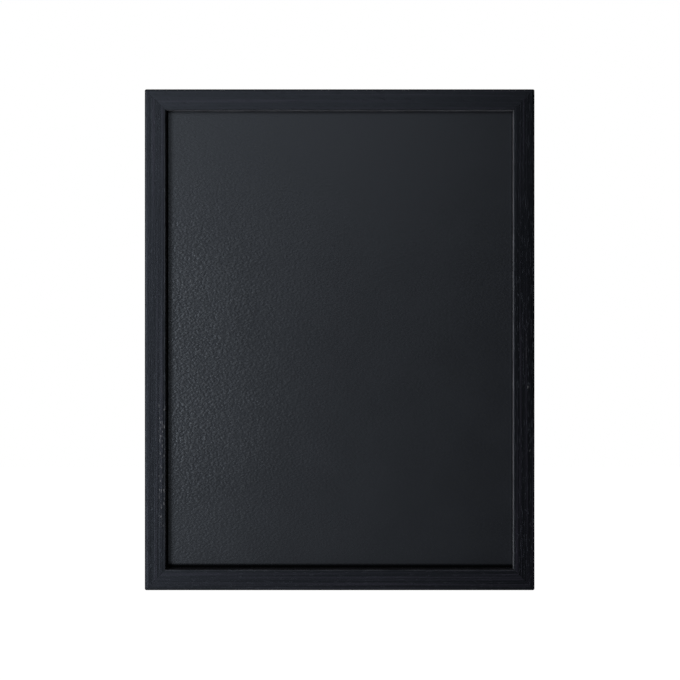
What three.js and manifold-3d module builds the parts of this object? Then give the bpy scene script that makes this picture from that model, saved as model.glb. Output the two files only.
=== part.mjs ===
// Framed wall chalkboard: four mitred lengths of rebated moulding round a coated board.
// Millimetres, +Z up. +X is the viewer's right, and the writing side faces -Y.
// Y = 0 is the back plane of the frame, and the origin lies midway between the two wall hooks.

import * as THREE from 'three';
import { mergeVertices } from 'three/addons/utils/BufferGeometryUtils.js';
import Module from 'manifold-3d';

const wasm = await Module();
wasm.setup();

// Writing area left in sight, and the moulding's face round it
const sightWidth = 304;
const sightHeight = 401;
const faceWidth = 18;

// Depths, from the front of the frame to its back
const recessDepth = 10;
const sheetThickness = 0.4;
const coreThickness = 3;
const backSpace = 2.6;

// Rebate that takes the board, and the play round the board's edge
const rebateWidth = 6;
const boardFit = 0.5;

// Eased edges of the moulding and of the frame's four outer corners
const outerEase = 1.2;
const innerEase = 0.8;
const backEase = 0.6;
const cornerRadius = 1.4;

// Glue line between two mitred ends
const glueLine = 0.1;

// Clearance round a piece that is driven into the wood, and under a piece that rests on another
const drivenGap = 0.3;
const seatGap = 0.3;

// V-nails across each mitre, driven in from the back
const nailLeg = 3.8;
const nailThickness = 0.5;
const nailHeight = 7;
const nailSink = 0.2;
const nailMargin = 1.7;
const nailsPerCorner = 2;

// Retainer tabs: flexible steel points, half in the rebate's wall and half over the board
const tabWidth = 5;
const tabThickness = 0.5;
const tabBite = 5;
const tabPoint = 2.5;
const tabReach = 8;
const tabLift = 3;
const tabLiftAngle = THREE.MathUtils.degToRad(20);
const tabCorner = 1;
const tabEndInset = 46;
const railTabInset = 94;

// Strap hangers: rolled strap, D-ring and screw
const hookDrop = 85;
const strapWidth = 8;
const strapThickness = 0.9;
const knuckleRoll = THREE.MathUtils.degToRad(290);
const wireRadius = 0.9;
const runningGap = 0.3;
const ringSideGap = 0.6;
const ringBend = 1.6;
const ringStraight = 1.4;
const ringMargin = 0.5;
const ringToScrewGap = 1;

// Hanger screws, pan headed with a cross recess
const screwHeadRadius = 3;
const screwHeadRim = 0.7;
const screwHeadHeight = 1.9;
const screwShankRadius = 1.5;
const screwLength = 12;
const screwTip = 3;
const crossSpan = 3.4;
const crossSlot = 0.9;
const crossDepth = 1.1;

// Rubber bumpers on the lower back
const bumperRadius = 4.5;
const bumperHeight = 3.2;
const bumperEase = 1.2;
const bumperInset = 28;

// Sizes that follow from the ones above
const frameDepth = recessDepth + sheetThickness + coreThickness + backSpace;
const outerWidth = sightWidth + 2 * faceWidth;
const outerHeight = sightHeight + 2 * faceWidth;
const landWidth = faceWidth - rebateWidth;
const boardWidth = sightWidth + 2 * (rebateWidth - boardFit);
const boardHeight = sightHeight + 2 * (rebateWidth - boardFit);
const frontY = -frameDepth;
const seatY = frontY + recessDepth;
const coreFrontY = seatY + sheetThickness;
const coreBackY = coreFrontY + coreThickness;
const tabFrontY = coreBackY + seatGap;
const tabBackY = tabFrontY + tabThickness;
const boreRadius = wireRadius + runningGap;
const knuckleRadius = boreRadius + strapThickness;
const ringHalfBar = strapWidth / 2 + ringSideGap;
const ringHalfWidth = ringHalfBar + ringBend;
const ringSide = ringBend + ringStraight;
const ringDrop = ringSide + ringHalfWidth;
const hookRise = ringDrop - wireRadius;
const hangerInset = ringHalfWidth + wireRadius + ringMargin;
const screwDrop = ringDrop + wireRadius + ringToScrewGap + screwHeadRadius;
const boardCentreZ = hookDrop - outerHeight / 2;
const knuckleHeight = outerHeight / 2 - hookDrop - hookRise;
const screwHeight = knuckleHeight - screwDrop;

// How far a cutter runs past the face that it opens
const overrun = 1;

// Divisions of eased edges and of rolled or round outlines, whose arcs get twice as many sides
const easeSegments = 2;
const rollSegments = 8;

// Sides of turned pieces and of the ring's wire, and steps along their curves
const turnSegments = 24;
const turnedArcSteps = 4;
const wireSides = 8;
const ringSegments = 56;

// Ratio that makes a cubic curve follow a quarter circle
const quarterRatio = 0.5523;

// Photographed colours: black lacquer, dark grey chalk coat, and plain back and hardware
const lacquer = new THREE.MeshStandardMaterial({ color: 0x16171b, roughness: 0.42, metalness: 0 });
const chalkCoat = new THREE.MeshStandardMaterial({ color: 0x24262b, roughness: 0.6, metalness: 0 });
const hardboard = new THREE.MeshStandardMaterial({ color: 0x7a5637, roughness: 0.85, metalness: 0 });
const plated = new THREE.MeshStandardMaterial({ color: 0xb9bcbe, roughness: 0.32, metalness: 1 });
const springSteel = new THREE.MeshStandardMaterial({ color: 0x6d7074, roughness: 0.45, metalness: 1 });
const rubber = new THREE.MeshStandardMaterial({ color: 0x1d1d1e, roughness: 0.8, metalness: 0 });

// Solids for boolean work: shared corners are welded and collapsed faces dropped
function toSolid(geometry) {
  const bare = geometry.clone();
  bare.deleteAttribute('normal');
  bare.deleteAttribute('uv');
  const welded = mergeVertices(bare);
  const corners = welded.index.array;
  const faces = [];
  for (let i = 0; i < corners.length; i += 3) {
    const [a, b, c] = corners.subarray(i, i + 3);
    if (a !== b && b !== c && c !== a) {
      faces.push(a, b, c);
    }
  }
  const mesh = new wasm.Mesh({
    numProp: 3,
    vertProperties: new Float32Array(welded.attributes.position.array),
    triVerts: new Uint32Array(faces),
  });
  return new wasm.Manifold(mesh);
}

function toGeometry(solid) {
  const mesh = solid.getMesh();
  const geometry = new THREE.BufferGeometry();
  geometry.setAttribute('position', new THREE.BufferAttribute(mesh.vertProperties, 3));
  geometry.setIndex(new THREE.BufferAttribute(mesh.triVerts, 1));
  geometry.computeVertexNormals();
  return geometry;
}

function cutBy(geometry, cutters) {
  let solid = toSolid(geometry);
  for (const cutter of cutters) {
    solid = solid.subtract(toSolid(cutter));
  }
  return toGeometry(solid);
}

function overlapOf(first, second) {
  return toGeometry(toSolid(first).intersect(toSolid(second)));
}

// A box between two corners
function block(x0, x1, y0, y1, z0, z1) {
  const geometry = new THREE.BoxGeometry(x1 - x0, y1 - y0, z1 - z0);
  geometry.translate((x0 + x1) / 2, (y0 + y1) / 2, (z0 + z1) / 2);
  return geometry;
}

// An outline drawn in X and Z, as thick as y0 to y1
function plate(outline, y0, y1, curveSegments = rollSegments) {
  const depth = y1 - y0;
  const geometry = new THREE.ExtrudeGeometry(outline, { depth, bevelEnabled: false, curveSegments });
  geometry.rotateX(Math.PI / 2);
  geometry.translate(0, y1, 0);
  return geometry;
}

// A side outline, drawn as distance along -Z and height along Y, as wide as `width` along X
function ribbon(outline, width) {
  const options = { depth: width, bevelEnabled: false, curveSegments: rollSegments };
  const geometry = new THREE.ExtrudeGeometry(outline, options);
  geometry.translate(0, 0, -width / 2);
  geometry.rotateY(Math.PI / 2);
  return geometry;
}

// A round piece turned about the Y axis from radius and height pairs
function turned(profile) {
  const points = profile.map(([radius, y]) => new THREE.Vector2(radius, y));
  return toGeometry(toSolid(new THREE.LatheGeometry(points, turnSegments)));
}

// Radius and height pairs of a quarter ellipse, from beside its widest point up to its top
function quarterArc(radius, y, spread, rise) {
  return Array.from({ length: turnedArcSteps }, (_, i) => {
    const angle = ((i + 1) / turnedArcSteps) * (Math.PI / 2);
    return [radius + spread * Math.cos(angle), y + rise * Math.sin(angle)];
  });
}

function named(name, geometry, material) {
  const mesh = new THREE.Mesh(geometry, material);
  mesh.name = name;
  return mesh;
}

// Moulding section: distance in from the outer edge, and depth along Y
function mouldingSection() {
  const section = new THREE.Shape();
  section.moveTo(outerEase, frontY);
  section.lineTo(faceWidth - innerEase, frontY);
  section.absarc(faceWidth - innerEase, frontY + innerEase, innerEase, -Math.PI / 2, 0, false);
  section.lineTo(faceWidth, seatY);
  section.lineTo(landWidth, seatY);
  section.lineTo(landWidth, 0);
  section.lineTo(backEase, 0);
  section.absarc(backEase, -backEase, backEase, Math.PI / 2, Math.PI, false);
  section.lineTo(0, frontY + outerEase);
  section.absarc(outerEase, frontY + outerEase, outerEase, Math.PI, 1.5 * Math.PI, false);
  return section;
}

// One length of moulding along X, its outer edge on Z = 0, with both ends cut to 45 degrees
function mitredLength(length) {
  const options = { depth: 1, bevelEnabled: false, curveSegments: easeSegments };
  const geometry = new THREE.ExtrudeGeometry(mouldingSection(), options);
  const position = geometry.attributes.position;
  for (let i = 0; i < position.count; i += 1) {
    const fromEdge = position.getX(i);
    const end = 2 * position.getZ(i) - 1;
    const halfLength = length / 2 - fromEdge - glueLine / Math.SQRT2;
    position.setXYZ(i, end * halfLength, position.getY(i), -fromEdge);
  }
  return geometry;
}

// The frame's plan over one length, with its two outer corners rounded
function cornerOutline(length) {
  const half = length / 2;
  const outline = new THREE.Shape();
  outline.moveTo(-half, -faceWidth - overrun);
  outline.lineTo(half, -faceWidth - overrun);
  outline.absarc(half - cornerRadius, -cornerRadius, cornerRadius, 0, Math.PI / 2, false);
  outline.absarc(cornerRadius - half, -cornerRadius, cornerRadius, Math.PI / 2, Math.PI, false);
  return outline;
}

// V-nail seen from behind, in the frame of a corner: the wood lies towards -X and -Z
function nailOutline(apex, grow) {
  const tip = -(apex - nailLeg - grow);
  const outer = -(apex - nailThickness / 2 - grow);
  const inner = -(apex + nailThickness / 2 + grow);
  const outline = new THREE.Shape();
  outline.moveTo(inner, inner);
  outline.lineTo(tip, inner);
  outline.lineTo(tip, outer);
  outline.lineTo(outer, outer);
  outline.lineTo(outer, tip);
  outline.lineTo(inner, tip);
  return outline;
}

// Distances of the nails' apexes from the outer corner, spread evenly over the land
function nailPlaces() {
  const first = nailMargin + nailLeg;
  const last = landWidth - nailMargin;
  const pitch = (last - first) / (nailsPerCorner - 1);
  return Array.from({ length: nailsPerCorner }, (_, i) => first + i * pitch);
}

function nailSlots(length) {
  const slots = [];
  for (const apex of nailPlaces()) {
    for (const end of [1, -1]) {
      const outline = nailOutline(apex, drivenGap);
      const slot = plate(outline, -nailSink - nailHeight - drivenGap, overrun);
      slot.rotateY(end === 1 ? 0 : -Math.PI / 2);
      slot.translate(end * length / 2, 0, 0);
      slots.push(slot);
    }
  }
  return slots;
}

function vNail(apex) {
  return plate(nailOutline(apex, 0), -nailSink - nailHeight, -nailSink);
}

// Retainer tab: Z = 0 is the rebate's wall, the board lies towards -Z
function retainerTab() {
  const side = new THREE.Shape();
  const liftRun = tabLift * Math.cos(tabLiftAngle);
  const liftRise = tabLift * Math.sin(tabLiftAngle);
  side.moveTo(-tabBite, tabFrontY);
  side.lineTo(tabReach, tabFrontY);
  side.lineTo(tabReach + liftRun, tabFrontY + liftRise);
  side.lineTo(
    tabReach + liftRun - tabThickness * Math.sin(tabLiftAngle),
    tabFrontY + liftRise + tabThickness * Math.cos(tabLiftAngle),
  );
  side.lineTo(tabReach - tabThickness * Math.tan(tabLiftAngle / 2), tabBackY);
  side.lineTo(-tabBite, tabBackY);

  const free = -(tabReach + liftRun);
  const half = tabWidth / 2;
  const plan = new THREE.Shape();
  plan.moveTo(0, tabBite);
  plan.lineTo(-half, tabBite - tabPoint);
  plan.absarc(tabCorner - half, free + tabCorner, tabCorner, Math.PI, 1.5 * Math.PI, false);
  plan.absarc(half - tabCorner, free + tabCorner, tabCorner, 1.5 * Math.PI, 2 * Math.PI, false);
  plan.lineTo(half, tabBite - tabPoint);
  const y0 = tabFrontY - overrun;
  const y1 = tabBackY + tabLift + overrun;
  return overlapOf(ribbon(side, tabWidth), plate(plan, y0, y1, easeSegments));
}

function tabSlot(along) {
  const half = tabWidth / 2 + drivenGap;
  const deepest = -landWidth + tabBite + drivenGap;
  const y0 = tabFrontY - drivenGap;
  const y1 = tabBackY + drivenGap;
  return block(along - half, along + half, y0, y1, -landWidth - overrun, deepest);
}

// Pilot hole for a hanger screw
function pilotHole(along) {
  const depth = screwLength - strapThickness + drivenGap;
  const hole = new THREE.CylinderGeometry(
    screwShankRadius + drivenGap,
    screwShankRadius + drivenGap,
    depth + overrun,
    turnSegments,
  );
  hole.translate(along, (overrun - depth) / 2, -hangerInset);
  return hole;
}

// One of the four frame lengths, in its own frame
function frameLength(length, tabPlaces, screwPlaces) {
  const outline = plate(cornerOutline(length), frontY - overrun, overrun, easeSegments);
  const trimmed = overlapOf(mitredLength(length), outline);
  const cutters = [...nailSlots(length), ...tabPlaces.map(tabSlot), ...screwPlaces.map(pilotHole)];
  return cutBy(trimmed, cutters);
}

// Where the tabs sit along the stiles and the rails
const stileTabPlaces = [-1, 0, 1].map((step) => step * (outerHeight / 2 - tabEndInset));
const railTabPlaces = [-1, 1].map((step) => step * (outerWidth / 2 - railTabInset));

// A frame length with its tabs, turned to face out at `fromCentre` from the board's centre
function frameSide(name, turn, length, fromCentre, tabPlaces, screwPlaces) {
  const side = new THREE.Group();
  side.rotation.y = turn;
  side.position.set(fromCentre * Math.sin(turn), 0, fromCentre * Math.cos(turn));
  side.add(named(name, frameLength(length, tabPlaces, screwPlaces), lacquer));
  tabPlaces.forEach((along, index) => {
    const tab = named(`${name}_retainer_tab_${index + 1}`, retainerTab(), springSteel);
    tab.position.set(along, 0, -landWidth);
    side.add(tab);
  });
  return side;
}

function frame() {
  const halfWidth = outerWidth / 2;
  const halfHeight = outerHeight / 2;
  const quarter = Math.PI / 2;
  const group = new THREE.Group();
  group.add(frameSide('top_rail', 0, outerWidth, halfHeight, railTabPlaces, []));
  group.add(frameSide('bottom_rail', Math.PI, outerWidth, halfHeight, railTabPlaces, []));
  group.add(frameSide('left_stile', -quarter, outerHeight, halfWidth, stileTabPlaces, [screwHeight]));
  group.add(frameSide('right_stile', quarter, outerHeight, halfWidth, stileTabPlaces, [-screwHeight]));
  return group;
}

// V-nails of the four corners, each corner turned to face its own way
function cornerNails() {
  const corners = [
    { name: 'top_right', turn: 0, x: 1, z: 1 },
    { name: 'top_left', turn: -Math.PI / 2, x: -1, z: 1 },
    { name: 'bottom_left', turn: Math.PI, x: -1, z: -1 },
    { name: 'bottom_right', turn: Math.PI / 2, x: 1, z: -1 },
  ];
  const group = new THREE.Group();
  for (const corner of corners) {
    nailPlaces().forEach((apex, index) => {
      const nail = named(`${corner.name}_v_nail_${index + 1}`, vNail(apex), springSteel);
      nail.rotation.y = corner.turn;
      nail.position.set(corner.x * outerWidth / 2, 0, corner.z * outerHeight / 2);
      group.add(nail);
    });
  }
  return group;
}

// The board: coated sheet in front, stiff core behind it
function board() {
  const halfWidth = boardWidth / 2;
  const halfHeight = boardHeight / 2;
  const sheet = block(-halfWidth, halfWidth, seatY, coreFrontY, -halfHeight, halfHeight);
  const core = block(-halfWidth, halfWidth, coreFrontY, coreBackY, -halfHeight, halfHeight);
  const group = new THREE.Group();
  group.add(named('writing_sheet', sheet, chalkCoat));
  group.add(named('hardboard_core', core, hardboard));
  return group;
}

// Hanger strap: the knuckle's axis is on Z = 0, and the strap runs down from it
function hangerStrap() {
  const start = -Math.PI / 2;
  const end = start - knuckleRoll;
  const foot = screwDrop + strapWidth / 2;
  const side = new THREE.Shape();
  side.moveTo(foot, 0);
  side.lineTo(0, 0);
  side.absarc(0, knuckleRadius, knuckleRadius, start, end, true);
  side.absarc(0, knuckleRadius, boreRadius, end, start, false);
  side.lineTo(foot, strapThickness);

  const half = strapWidth / 2;
  const top = knuckleRadius + overrun;
  const plan = new THREE.Shape();
  plan.moveTo(half, top);
  plan.lineTo(-half, top);
  plan.absarc(0, -screwDrop, half, Math.PI, 2 * Math.PI, false);
  const hole = new THREE.Path();
  hole.absarc(0, -screwDrop, screwShankRadius + drivenGap, 0, 2 * Math.PI, true);
  plan.holes.push(hole);
  return overlapOf(ribbon(side, strapWidth), plate(plan, -overrun, 2 * knuckleRadius + overrun));
}

// D-ring about the knuckle's axis, hanging down
function dRing() {
  const bar = ringHalfBar;
  const half = ringHalfWidth;
  const bendEnd = -ringBend;
  const at = (x, z) => new THREE.Vector3(x, 0, z);
  const quarterTurn = (from, corner, to) => new THREE.CubicBezierCurve3(
    from,
    from.clone().lerp(corner, quarterRatio),
    to.clone().lerp(corner, quarterRatio),
    to,
  );
  const path = new THREE.CurvePath();
  path.add(new THREE.LineCurve3(at(bar, 0), at(-bar, 0)));
  path.add(quarterTurn(at(-bar, 0), at(-half, 0), at(-half, bendEnd)));
  path.add(new THREE.LineCurve3(at(-half, bendEnd), at(-half, -ringSide)));
  path.add(quarterTurn(at(-half, -ringSide), at(-half, -ringDrop), at(0, -ringDrop)));
  path.add(quarterTurn(at(0, -ringDrop), at(half, -ringDrop), at(half, -ringSide)));
  path.add(new THREE.LineCurve3(at(half, -ringSide), at(half, bendEnd)));
  path.add(quarterTurn(at(half, bendEnd), at(half, 0), at(bar, 0)));
  return toGeometry(toSolid(new THREE.TubeGeometry(path, ringSegments, wireRadius, wireSides, true)));
}

// Pan-head screw, its shank along -Y and its head's seat on Y = 0
function hangerScrew() {
  const blank = turned([
    [0, -screwLength],
    [screwShankRadius, screwTip - screwLength],
    [screwShankRadius, 0],
    [screwHeadRadius, 0],
    [screwHeadRadius, screwHeadRim],
    ...quarterArc(0, screwHeadRim, screwHeadRadius, screwHeadHeight - screwHeadRim),
  ]);
  const span = crossSpan / 2;
  const slot = crossSlot / 2;
  const y0 = screwHeadHeight - crossDepth;
  const y1 = screwHeadHeight + overrun;
  const across = block(-span, span, y0, y1, -slot, slot);
  const upright = block(-slot, slot, y0, y1, -span, span);
  return cutBy(blank, [across, upright]);
}

function hanger(name, side) {
  const group = new THREE.Group();
  group.position.set(side * (outerWidth / 2 - hangerInset), 0, knuckleHeight);
  group.add(named(`${name}_hanger_strap`, hangerStrap(), plated));
  const ring = named(`${name}_hanger_ring`, dRing(), plated);
  ring.position.y = knuckleRadius;
  group.add(ring);
  const screw = named(`${name}_hanger_screw`, hangerScrew(), plated);
  screw.position.set(0, strapThickness, -screwDrop);
  group.add(screw);
  return group;
}

// Rubber bumper, stuck to the bottom rail's back
function bumper(name, side) {
  const profile = [
    [0, 0],
    [bumperRadius, 0],
    [bumperRadius, bumperHeight - bumperEase],
    ...quarterArc(bumperRadius - bumperEase, bumperHeight - bumperEase, bumperEase, bumperEase),
    [0, bumperHeight],
  ];
  const pad = named(name, turned(profile), rubber);
  pad.position.set(side * (outerWidth / 2 - bumperInset), 0, (landWidth - outerHeight) / 2);
  return pad;
}

const chalkboard = new THREE.Group();
chalkboard.position.z = boardCentreZ;
chalkboard.add(frame());
chalkboard.add(cornerNails());
chalkboard.add(board());
chalkboard.add(hanger('left', -1));
chalkboard.add(hanger('right', 1));
chalkboard.add(bumper('left_bumper', -1));
chalkboard.add(bumper('right_bumper', 1));

export default chalkboard;
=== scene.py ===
import math

import bmesh
import bpy
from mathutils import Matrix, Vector

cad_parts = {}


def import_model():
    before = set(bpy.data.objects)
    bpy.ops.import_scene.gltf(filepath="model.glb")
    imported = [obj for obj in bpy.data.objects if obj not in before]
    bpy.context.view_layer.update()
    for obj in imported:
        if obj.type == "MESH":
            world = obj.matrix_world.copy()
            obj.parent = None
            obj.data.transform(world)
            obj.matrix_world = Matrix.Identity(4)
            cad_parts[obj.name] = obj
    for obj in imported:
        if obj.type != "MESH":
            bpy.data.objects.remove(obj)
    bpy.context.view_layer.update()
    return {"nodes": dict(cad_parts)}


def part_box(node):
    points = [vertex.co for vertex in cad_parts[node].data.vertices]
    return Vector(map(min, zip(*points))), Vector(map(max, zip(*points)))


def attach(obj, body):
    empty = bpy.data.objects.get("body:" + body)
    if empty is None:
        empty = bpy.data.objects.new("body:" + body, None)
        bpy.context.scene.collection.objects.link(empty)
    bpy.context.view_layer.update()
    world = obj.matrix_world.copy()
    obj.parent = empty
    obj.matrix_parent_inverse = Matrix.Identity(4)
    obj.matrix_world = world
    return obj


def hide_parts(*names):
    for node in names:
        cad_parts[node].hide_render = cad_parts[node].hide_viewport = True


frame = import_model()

# Metres throughout. X is the viewer's right, the writing side faces -Y and Z is up.
MM = 0.001

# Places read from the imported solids
OUTER_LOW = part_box("bottom_rail")[0]
OUTER_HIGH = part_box("top_rail")[1]
OPENING_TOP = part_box("top_rail")[0].z
SHEET_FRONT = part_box("writing_sheet")[0].y
HALF_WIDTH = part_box("right_stile")[1].x
HALF_HEIGHT = (OUTER_HIGH.z - OUTER_LOW.z) / 2
CENTRE_Z = (OUTER_HIGH.z + OUTER_LOW.z) / 2
FACE_WIDTH = OUTER_HIGH.z - OPENING_TOP
FRONT_Y = OUTER_LOW.y

# Moulding section
REBATE_WIDTH = 6 * MM
LAND_WIDTH = FACE_WIDTH - REBATE_WIDTH
OUTER_EASE = 1.2 * MM
INNER_EASE = 0.3 * MM
BACK_EASE = 0.6 * MM
ARC_STEPS = 6
PILLOW_RUN = 2.6 * MM
PILLOW_DROP = 0.07 * MM
PILLOW_STOPS = (0.08, 0.35, 0.7, 1.0)
EDGE_LOOP = 0.3 * MM
LIP_LOOP = 0.4 * MM

# Outer corners and mitres
CORNER_RADIUS = 1.4 * MM
CORNER_REACH = 5 * MM
MITRE_GAP = 0.03 * MM
MITRE_EASE = 0.07 * MM
FIT = 0.05 * MM

# Driven steel
NAIL_THICKNESS = 0.5 * MM
NAIL_LEG = 3.8 * MM
NAIL_DEPTH = 7.2 * MM
NAIL_APEXES = (5.5 * MM, 10.3 * MM)
TAB_HALF_WIDTH = 2.5 * MM
TAB_THICKNESS = 0.5 * MM
TAB_BITE = 5 * MM
TAB_POINT = 2.5 * MM
TAB_REACH = 8 * MM
TAB_LIFT = 3 * MM
TAB_LIFT_ANGLE = math.radians(20)
TAB_BEND = 1.2 * MM
TAB_CORNER = 1 * MM
TAB_EASE = 0.07 * MM
STILE_TAB_INSET = 46 * MM
RAIL_TAB_INSET = 94 * MM

# Hangers
KNUCKLE_AXIS = Vector((0.1624, 0.0021, -0.0083))
STRAP_WIDTH = 8 * MM
STRAP_THICKNESS = 0.9 * MM
KNUCKLE_BORE = 1.2 * MM
KNUCKLE_ROLL = math.radians(290)
STRAP_HOLE_PLAY = 0.3 * MM
STRAP_EASE = 0.12 * MM
SCREW_DROP = 14.1 * MM
RING_HALF_BAR = 4.6 * MM
RING_BEND = 1.6 * MM
RING_SIDE = 3 * MM
RING_DROP = 9.2 * MM
WIRE_RADIUS = 0.9 * MM
RING_HALF_WIDTH = RING_HALF_BAR + RING_BEND
SCREW_HEAD_RADIUS = 3 * MM
SCREW_HEAD_RIM = 0.7 * MM
SCREW_HEAD_HEIGHT = 1.9 * MM
SCREW_ROOT = 1.15 * MM
SCREW_CREST = 1.5 * MM
SCREW_LENGTH = 12 * MM
SCREW_TIP = 3 * MM
SCREW_PITCH = 1.3 * MM
SCREW_NECK = 0.4 * MM
THREAD_SHARE = 0.3
CROSS_SPAN = 3.4 * MM
CROSS_SLOT = 0.9 * MM
CROSS_DEPTH = 1.1 * MM
CROSS_FLOOR = (0.55, 0.7)
CROSS_FLARE = 1.1
CROSS_TURN = 25
SMALL_EASE = 0.15 * MM

# Bumpers
BUMPER_RADIUS = 4.5 * MM
BUMPER_HEIGHT = 3.2 * MM
BUMPER_EASE = 1.2 * MM
BUMPER_DISH = 0.25 * MM

# Colours, linear
LACQUER_DARK = (0.0005, 0.0004, 0.0007)
LACQUER_PALE = (0.0105, 0.0092, 0.0140)
LACQUER_SHEEN = (0.70, 0.81, 1.0)
PORE_DUST = (0.010, 0.009, 0.012)
# Painted glints on the left stile, and the pale tone of the nicks on the right stile
GLINT_AND_SCRATCH = (0.11, 0.11, 0.115)
# Painted highlight on the inner front edge of the bottom rail and the left stile
ARRIS_HIGHLIGHT = (0.026, 0.026, 0.030)
# Inner lip walls: painted light on the right, painted shade on the left and the foot, half light
# at the top, by how each faces the lamps
LIP_PAINTED_SHADE = ((0.012, 0.012, 0.015), (0.035, 0.036, 0.042))
LIP_PAINTED_HALF_LIGHT = ((0.070, 0.073, 0.084), (0.148, 0.153, 0.172))
LIP_PAINTED_LIGHT = ((0.078, 0.082, 0.094), (0.195, 0.200, 0.220))
STAIN_DARK = (0.008, 0.007, 0.0065)
STAIN_PALE = (0.020, 0.016, 0.013)
STAIN_THIN = (0.050, 0.032, 0.020)
COAT_DARK = (0.0048, 0.0050, 0.0066)
COAT_PALE = (0.0060, 0.0063, 0.0082)
# Pale pebble tops: partly dust, partly painted sheen
PEBBLE_DUST_AND_SHEEN = (0.0280, 0.0298, 0.0330)
COAT_SHEEN = (0.77, 0.87, 1.0)
# Painted shadow along the sheet beside the stiles and the foot
PAINTED_SHADOW_BLACK = (0.0006, 0.0006, 0.0008)
FIBRE_DARK = (0.115, 0.056, 0.024)
FIBRE_PALE = (0.235, 0.125, 0.058)
FIBRE_RED = (0.190, 0.078, 0.032)
NICKEL_DARK = (0.36, 0.35, 0.33)
NICKEL_PALE = (0.50, 0.49, 0.465)
SPRING_DARK = (0.15, 0.155, 0.165)
SPRING_PALE = (0.27, 0.275, 0.285)
SPRING_BLUE = (0.10, 0.13, 0.20)
RUBBER_DARK = (0.010, 0.010, 0.0105)
RUBBER_DUSTY = (0.030, 0.030, 0.030)

# Relief of the surfaces
PEEL_RELIEF = 0.018 * MM
STAIN_RELIEF = 0.09 * MM
PEBBLE_RELIEF = 0.30 * MM
FINE_RELIEF = 0.002 * MM
SCREEN_RELIEF = 0.12 * MM
FIBRE_RELIEF = 0.05 * MM
TUMBLE_RELIEF = 0.006 * MM
ROLLING_RELIEF = 0.01 * MM
SKIN_RELIEF = 0.02 * MM

# Sheen of lacquer and coating
LACQUER_ROUGH = (0.29, 0.36)
PORE_DULLNESS = 0.12
SIDE_DULLNESS = 0.4
COAT_ROUGH = (0.33, 0.37)
COAT_SHINE = 0.43
# Rougher and metallic in the painted shadow strip, so that it shows no sheen
RIM_DULLNESS = 0.6
RIM_METAL = 0.8

# Masks on the lacquer, in millimetres, from where they begin to where they are full
SIDE_FADE = 0.5
LIP_ACROSS = (0.25, 0.05)
LIP_DEPTH = (0.5, 0.8)
ARRIS_ACROSS = (0.6, 0.1)
FLECKS_ACROSS = (-158.2, -157.2)
FLECKS_TOP = (-168, -190)
FLECKS_FOOT = (-300, -288)
NICK_ACROSS = (0.75, 0.35)
NICK_FADE = 0.8

# Nicks on the right stile, in millimetres: across, up from the middle, length, strength
NICKS = ((162.8, -6.5, 24.0, 0.12), (164.1, -41.4, 3.0, 0.6), (165.9, -96.5, 2.6, 0.6))

# Pebbles of the coating, and how they and their pale tops of dust and painted sheen flatten to the
# right, the top and the foot
PEBBLE_STRETCH = (1.22, 1, 0.80)
COARSE_ACROSS = (-155, 40)
COARSE_TOP = (195, 40)
COARSE_FOOT = (-205, -70)
COARSE_SHARES = (0.24, 0.3, 0.5)

# Painted shadow along the sheet's edge, in millimetres in from the opening's sides and foot
RIM_LEFT = (1.6, 1.0)
RIM_RIGHT = (1.0, 0.5)
RIM_FOOT = (5.0, 1.4)


# Shader trees


def surface(name):
    """A new material with one Principled shader, as material, tree and shader."""
    material = bpy.data.materials.new(name)
    material.use_nodes = True
    tree = material.node_tree
    shader = tree.nodes["Principled BSDF"]
    return material, tree, shader


def feed(tree, socket, value):
    """Links a node's output to a socket, or sets a plain value on it."""
    if isinstance(value, bpy.types.NodeSocket):
        tree.links.new(value, socket)
    elif isinstance(value, tuple) and len(value) == 3 and socket.type == "RGBA":
        socket.default_value = (*value, 1)
    else:
        socket.default_value = value


def place(tree, stretch=(1, 1, 1), shift=(0, 0, 0)):
    """Object coordinates in millimetres, divided by a stretch along each axis."""
    coordinates = tree.nodes.new("ShaderNodeTexCoord")
    mapping = tree.nodes.new("ShaderNodeMapping")
    mapping.inputs["Scale"].default_value = tuple(1000 / s for s in stretch)
    mapping.inputs["Location"].default_value = shift
    tree.links.new(coordinates.outputs["Object"], mapping.inputs["Vector"])
    return mapping.outputs["Vector"]


def axis_of(tree, axis):
    """One object coordinate in millimetres."""
    split = tree.nodes.new("ShaderNodeSeparateXYZ")
    tree.links.new(place(tree), split.inputs[0])
    return split.outputs[axis]


def noise(tree, where, scale, detail=2.0, roughness=0.5, distortion=0.0):
    """Soft noise between 0 and 1."""
    node = tree.nodes.new("ShaderNodeTexNoise")
    feed(tree, node.inputs["Vector"], where)
    node.inputs["Scale"].default_value = scale
    node.inputs["Detail"].default_value = detail
    node.inputs["Roughness"].default_value = roughness
    node.inputs["Distortion"].default_value = distortion
    return node.outputs["Fac"]


def cells(tree, where, scale):
    """Smoothed distance to the nearest of many scattered points."""
    node = tree.nodes.new("ShaderNodeTexVoronoi")
    node.feature = "SMOOTH_F1"
    feed(tree, node.inputs["Vector"], where)
    node.inputs["Scale"].default_value = scale
    node.inputs["Smoothness"].default_value = 0.35
    return node.outputs["Distance"]


def waves(tree, where, scale, axis="X", distortion=0.0):
    """Even bands between 0 and 1 along one axis."""
    node = tree.nodes.new("ShaderNodeTexWave")
    node.bands_direction = axis
    feed(tree, node.inputs["Vector"], where)
    node.inputs["Scale"].default_value = scale
    node.inputs["Distortion"].default_value = distortion
    return node.outputs["Fac"]


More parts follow.
